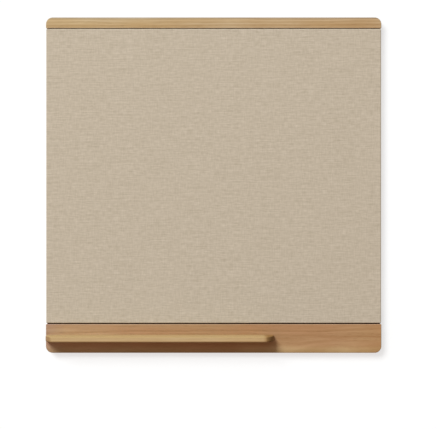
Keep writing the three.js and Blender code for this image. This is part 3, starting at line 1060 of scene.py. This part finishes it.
def linenCloth():
    material = newMaterial("linen cloth, plain woven")
    tree = material.node_tree
    threads = addNode(tree, "UVMap", uv_map=cloth["uvName"]).outputs["UV"]
    def yarns(width, length, upright, share):
        scale = (1 / width, 1 / length, 1) if upright else (1 / length, 1 / width, 1)
        stretched = addNode(tree, "Mapping", {"Vector": threads, "Scale": scale}).outputs[0]
        uneven = addNode(tree, "TexNoise", {
            "Vector": stretched, "Scale": 1.0, "Detail": 2.0, "Roughness": 0.5,
        }, noise_dimensions="2D").outputs[0]
        return addNode(tree, "MapRange", {
            "Value": uneven, "To Min": -share / 2, "To Max": share / 2,
        }).outputs[0]
    weftSlubs = yarns(linen["slubWidth"], linen["slubLength"], False, linen["weftSlubs"])
    weftYarns = yarns(linen["yarnWidth"], linen["yarnLength"], False, linen["weftYarns"])
    warpSlubs = yarns(linen["slubWidth"], linen["slubLength"], True, linen["warpSlubs"])
    weft = addNode(tree, "Math", {0: weftSlubs, 1: weftYarns}, operation="ADD").outputs[0]
    both = addNode(tree, "Math", {0: weft, 1: warpSlubs}, operation="ADD").outputs[0]
    tone = addNode(tree, "Math", {0: both, 1: 0.5}, operation="ADD", use_clamp=True).outputs[0]
    colour = addNode(tree, "Mix", {
        0: tone, 6: linear(linen["dark"]), 7: linear(linen["light"]),
    }, data_type="RGBA").outputs[2]
    def threadRows(direction):
        return addNode(tree, "TexWave", {
            "Vector": threads, "Scale": linen["wave"] / linen["thread"],
            "Distortion": linen["threadWaver"], "Detail": 1.0,
        }, wave_type="BANDS", bands_direction=direction, wave_profile="SIN").outputs["Fac"]
    weave = addNode(tree, "Math", {
        0: threadRows("X"), 1: threadRows("Y"),
    }, operation="MULTIPLY").outputs[0]
    height = addNode(tree, "Math", {0: weave, 1: tone}, operation="ADD").outputs[0]
    bump = addNode(tree, "Bump", {
        "Strength": linen["relief"], "Distance": linen["threadDepth"], "Height": height,
    }).outputs[0]
    surface = addNode(tree, "BsdfPrincipled", {
        "Base Color": colour, "Roughness": linen["roughness"], "Normal": bump,
        "IOR": 1.5, "Specular IOR Level": linen["specular"],
        "Sheen Weight": linen["sheen"], "Sheen Roughness": linen["sheenRoughness"],
    })
    addNode(tree, "OutputMaterial", {"Surface": surface.outputs[0]})
    return material


# Poplar plywood, peeled and sanded: pale, with broad soft figure and short fine lines up the sheet
plywood = {
    "figureWidth": 34 * mm,
    "figureLength": 320 * mm,
    "figureBands": 7.0,  # how often the figure goes from pale to deep or back
    "lineWidth": 1.6 * mm,
    "lineLength": 24 * mm,
    "lineDepth": 0.1 * mm,
    "lineShare": 0.6,
    "pale": "#dcc7a3",
    "deep": "#cbb188",
    "roughness": 0.75,
    "specular": 0.25,
    "relief": 0.2,
}


def poplarPlywood():
    material = newMaterial("poplar plywood, sanded")
    tree = material.node_tree
    place = addNode(tree, "TexCoord").outputs["Object"]
    def marks(width, length, detail):
        stretched = addNode(tree, "Mapping", {
            "Vector": place, "Scale": (1 / width, 1 / width, 1 / length),
        }).outputs[0]
        return addNode(tree, "TexNoise", {
            "Vector": stretched, "Scale": 1.0, "Detail": detail, "Distortion": 0.4,
        }).outputs[0]
    figure = marks(plywood["figureWidth"], plywood["figureLength"], 2.0)
    lines = marks(plywood["lineWidth"], plywood["lineLength"], 3.0)
    rings = addNode(tree, "Math", {0: figure, 1: plywood["figureBands"]}, operation="MULTIPLY").outputs[0]
    bands = addNode(tree, "Math", {0: rings, 1: 1.0}, operation="PINGPONG").outputs[0]
    both = addNode(tree, "Mix", {0: plywood["lineShare"], 2: bands, 3: lines}).outputs[0]
    colour = addNode(tree, "Mix", {
        0: both, 6: linear(plywood["pale"]), 7: linear(plywood["deep"]),
    }, data_type="RGBA").outputs[2]
    bump = addNode(tree, "Bump", {
        "Strength": plywood["relief"], "Distance": plywood["lineDepth"], "Height": lines,
    }).outputs[0]
    surface = addNode(tree, "BsdfPrincipled", {
        "Base Color": colour, "Roughness": plywood["roughness"], "Normal": bump,
        "IOR": 1.5, "Specular IOR Level": plywood["specular"],
    })
    addNode(tree, "OutputMaterial", {"Surface": surface.outputs[0]})
    return material


# Pressed wood-fibre softboard: matted brown fibres, quite matt
softboard = {
    "fibre": 3.0 * mm,
    "fibreDepth": 0.4 * mm,
    "pale": "#a3875c",
    "deep": "#7c6543",
    "roughness": 0.95,
    "specular": 0.1,
    "relief": 0.6,
}


def fibreSoftboard():
    material = newMaterial("wood-fibre softboard, pressed")
    tree = material.node_tree
    place = addNode(tree, "TexCoord").outputs["Object"]
    fibres = addNode(tree, "TexNoise", {
        "Vector": place, "Scale": 1 / softboard["fibre"], "Detail": 4.0, "Distortion": 1.5,
    }).outputs[0]
    colour = addNode(tree, "Mix", {
        0: fibres, 6: linear(softboard["deep"]), 7: linear(softboard["pale"]),
    }, data_type="RGBA").outputs[2]
    bump = addNode(tree, "Bump", {
        "Strength": softboard["relief"], "Distance": softboard["fibreDepth"], "Height": fibres,
    }).outputs[0]
    surface = addNode(tree, "BsdfPrincipled", {
        "Base Color": colour, "Roughness": softboard["roughness"], "Normal": bump,
        "IOR": 1.5, "Specular IOR Level": softboard["specular"],
    })
    addNode(tree, "OutputMaterial", {"Surface": surface.outputs[0]})
    return material


# Beech, turned to dowels: pinkish, with short dark flecks along the grain
beech = {
    "fleckWidth": 0.5 * mm,
    "fleckLength": 3.0 * mm,
    "pale": "#d8b58a",
    "deep": "#b98d5e",
    "roughness": 0.6,
    "specular": 0.3,
}


def turnedBeech():
    material = newMaterial("beech, turned")
    tree = material.node_tree
    place = addNode(tree, "TexCoord").outputs["Object"]
    width, length = beech["fleckWidth"], beech["fleckLength"]
    stretched = addNode(tree, "Mapping", {
        "Vector": place, "Scale": (1 / width, 1 / length, 1 / width),
    }).outputs[0]
    flecks = addNode(tree, "TexNoise", {"Vector": stretched, "Scale": 1.0, "Detail": 2.0}).outputs[0]
    colour = addNode(tree, "Mix", {
        0: flecks, 6: linear(beech["pale"]), 7: linear(beech["deep"]),
    }, data_type="RGBA").outputs[2]
    surface = addNode(tree, "BsdfPrincipled", {
        "Base Color": colour, "Roughness": beech["roughness"],
        "IOR": 1.5, "Specular IOR Level": beech["specular"],
    })
    addNode(tree, "OutputMaterial", {"Surface": surface.outputs[0]})
    return material


# Zinc-plated steel: grey with a cool cast, cloudy in patches, a soft shine
zinc = {
    "cloud": 4.0 * mm,
    "bright": "#b4b8bb",
    "dull": "#94989b",
    "roughness": {"To Min": 0.36, "To Max": 0.54},
}


def zincSteel():
    material = newMaterial("steel, zinc plated")
    tree = material.node_tree
    place = addNode(tree, "TexCoord").outputs["Object"]
    clouds = addNode(tree, "TexNoise", {
        "Vector": place, "Scale": 1 / zinc["cloud"], "Detail": 4.0, "Roughness": 0.6,
    }).outputs[0]
    colour = addNode(tree, "Mix", {
        0: clouds, 6: linear(zinc["bright"]), 7: linear(zinc["dull"]),
    }, data_type="RGBA").outputs[2]
    shine = addNode(tree, "MapRange", {"Value": clouds, **zinc["roughness"]}).outputs[0]
    surface = addNode(tree, "BsdfPrincipled", {
        "Base Color": colour, "Roughness": shine, "Metallic": 1.0,
    })
    addNode(tree, "OutputMaterial", {"Surface": surface.outputs[0]})
    return material


# The other parts keep their own meshes: the staples get softly rounded edges, and all get their finish
smallParts = {"weld": 0.02 * mm, "sharpAngle": 60}


def finishSmallParts(finishes):
    dressed = 0
    for row in frame["record"]["subparts"]:
        if row["node"] in remodelled:
            continue
        slot = row["material_slot"]
        part = frame["nodes"][row["node"]]
        part.data.materials.clear()
        part.data.materials.append(finishes[slot])
        part.data.shade_smooth()
        weld = part.modifiers.new("weld", "WELD")
        weld.merge_threshold = smallParts["weld"]
        if slot == "zinc_steel":
            softenEdges(part)
        split = part.modifiers.new("sharp edges", "EDGE_SPLIT")
        split.split_angle = math.radians(smallParts["sharpAngle"])
        part.modifiers.new("flat faces", "WEIGHTED_NORMAL")
        dressed += 1
    print("small parts finished:", dressed)


setCamera()
setStudio()
makeTopRail(oiledOak(oakLooks["upper"]))
makeBottomRail(oiledOak(oakLooks["lower"]))
makePenLedge(oiledOak(oakLooks["ledge"]))
makeCloth(linenCloth())
steel = zincSteel()
makeKeyholePlate("left", steel)
makeKeyholePlate("right", steel)
makeScrews(steel)
finishSmallParts({
    "plywood": poplarPlywood(),
    "softboard": fibreSoftboard(),
    "beech": turnedBeech(),
    "zinc_steel": steel,
})

scene.view_settings.view_transform = "Standard"
